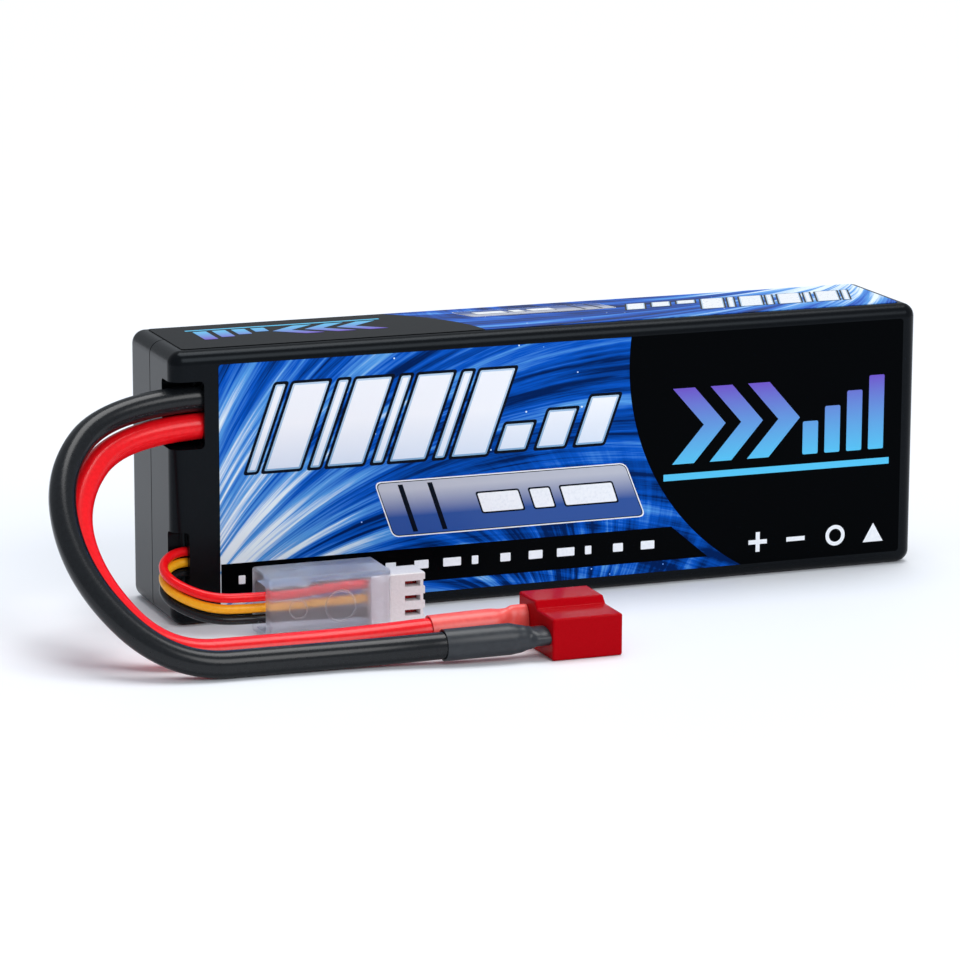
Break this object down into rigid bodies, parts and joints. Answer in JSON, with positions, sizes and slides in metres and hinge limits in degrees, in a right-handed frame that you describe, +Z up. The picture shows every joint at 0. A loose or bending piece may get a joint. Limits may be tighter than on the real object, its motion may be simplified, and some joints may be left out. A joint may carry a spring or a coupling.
{
  "type": "hard-case lithium polymer battery pack",
  "caption": "Flat black hard-case battery pack with printed labels, red and black leads looped to a red T plug, and thin balance leads to a white plug in a clear sliding guard.",
  "frame": {"origin": "middle of the case's bottom face, on the surface that the pack stands on", "axes": "+X along the pack away from the end where the leads come out, -Y out of the main labelled face, +Z up"},
  "size_m": [0.1636, 0.0677, 0.0475],
  "materials": {
    "case_black": "satin moulded",
    "label_print": "gloss laminated film",
    "pouch_foil": "satin foil laminate",
    "nickel": "brushed",
    "bond_tape": "matte",
    "film_tape": "glossy amber film",
    "foam": "closed-cell foam",
    "board_green": "solder-masked laminate",
    "copper": "satin",
    "solder": "smooth",
    "card": "fibre card",
    "lead_red": "soft silicone",
    "lead_black": "soft silicone",
    "lead_yellow": "soft silicone",
    "sleeve_red": "shrunk polyolefin",
    "sleeve_black": "shrunk polyolefin",
    "plug_red": "glossy moulded",
    "contact_gold": "gold plated",
    "plug_white": "smooth moulded",
    "guard_clear": "frosted translucent"
  },
  "bodies": {
    "pack": {"front_shell": "case_black", "back_shell": "case_black", "front_label": "label_print", "back_label": "label_print", "top_label": "label_print", "cell_front_pouch": "pouch_foil", "cell_back_pouch": "pouch_foil", "cell_front_negative_tab": "nickel", "cell_front_positive_tab": "nickel", "cell_back_positive_tab": "nickel", "cell_back_negative_tab": "nickel", "cell_bond_tape": "bond_tape", "cell_strap_tape": "film_tape", "front_foam_pad": "foam", "back_foam_pad": "foam", "end_foam_pad": "foam", "tab_board": "board_green", "board_traces": "copper", "positive_bus": "copper", "series_link": "copper", "lead_core_ends": "copper", "solder_joints": "solder", "plug_solder": "solder", "insulating_card": "card", "main_lead_red": "lead_red", "main_lead_black": "lead_black", "sleeve_red": "sleeve_red", "sleeve_black": "sleeve_black", "plug_housing": "plug_red", "plug_contact_positive": "contact_gold", "plug_contact_negative": "contact_gold", "plug_spring_positive": "contact_gold", "plug_spring_negative": "contact_gold", "balance_lead_red": "lead_red", "balance_lead_yellow": "lead_yellow", "balance_lead_black": "lead_black", "balance_plug_housing": "plug_white", "balance_terminals": "contact_gold"},
    "guard": {"balance_guard": "guard_clear"}
  },
  "joints": [
    {"name": "guard_slide", "type": "slide", "parent": "pack", "child": "guard", "axis": [-1, 0, 0], "range_m": [0, 0.004]}
  ]
}
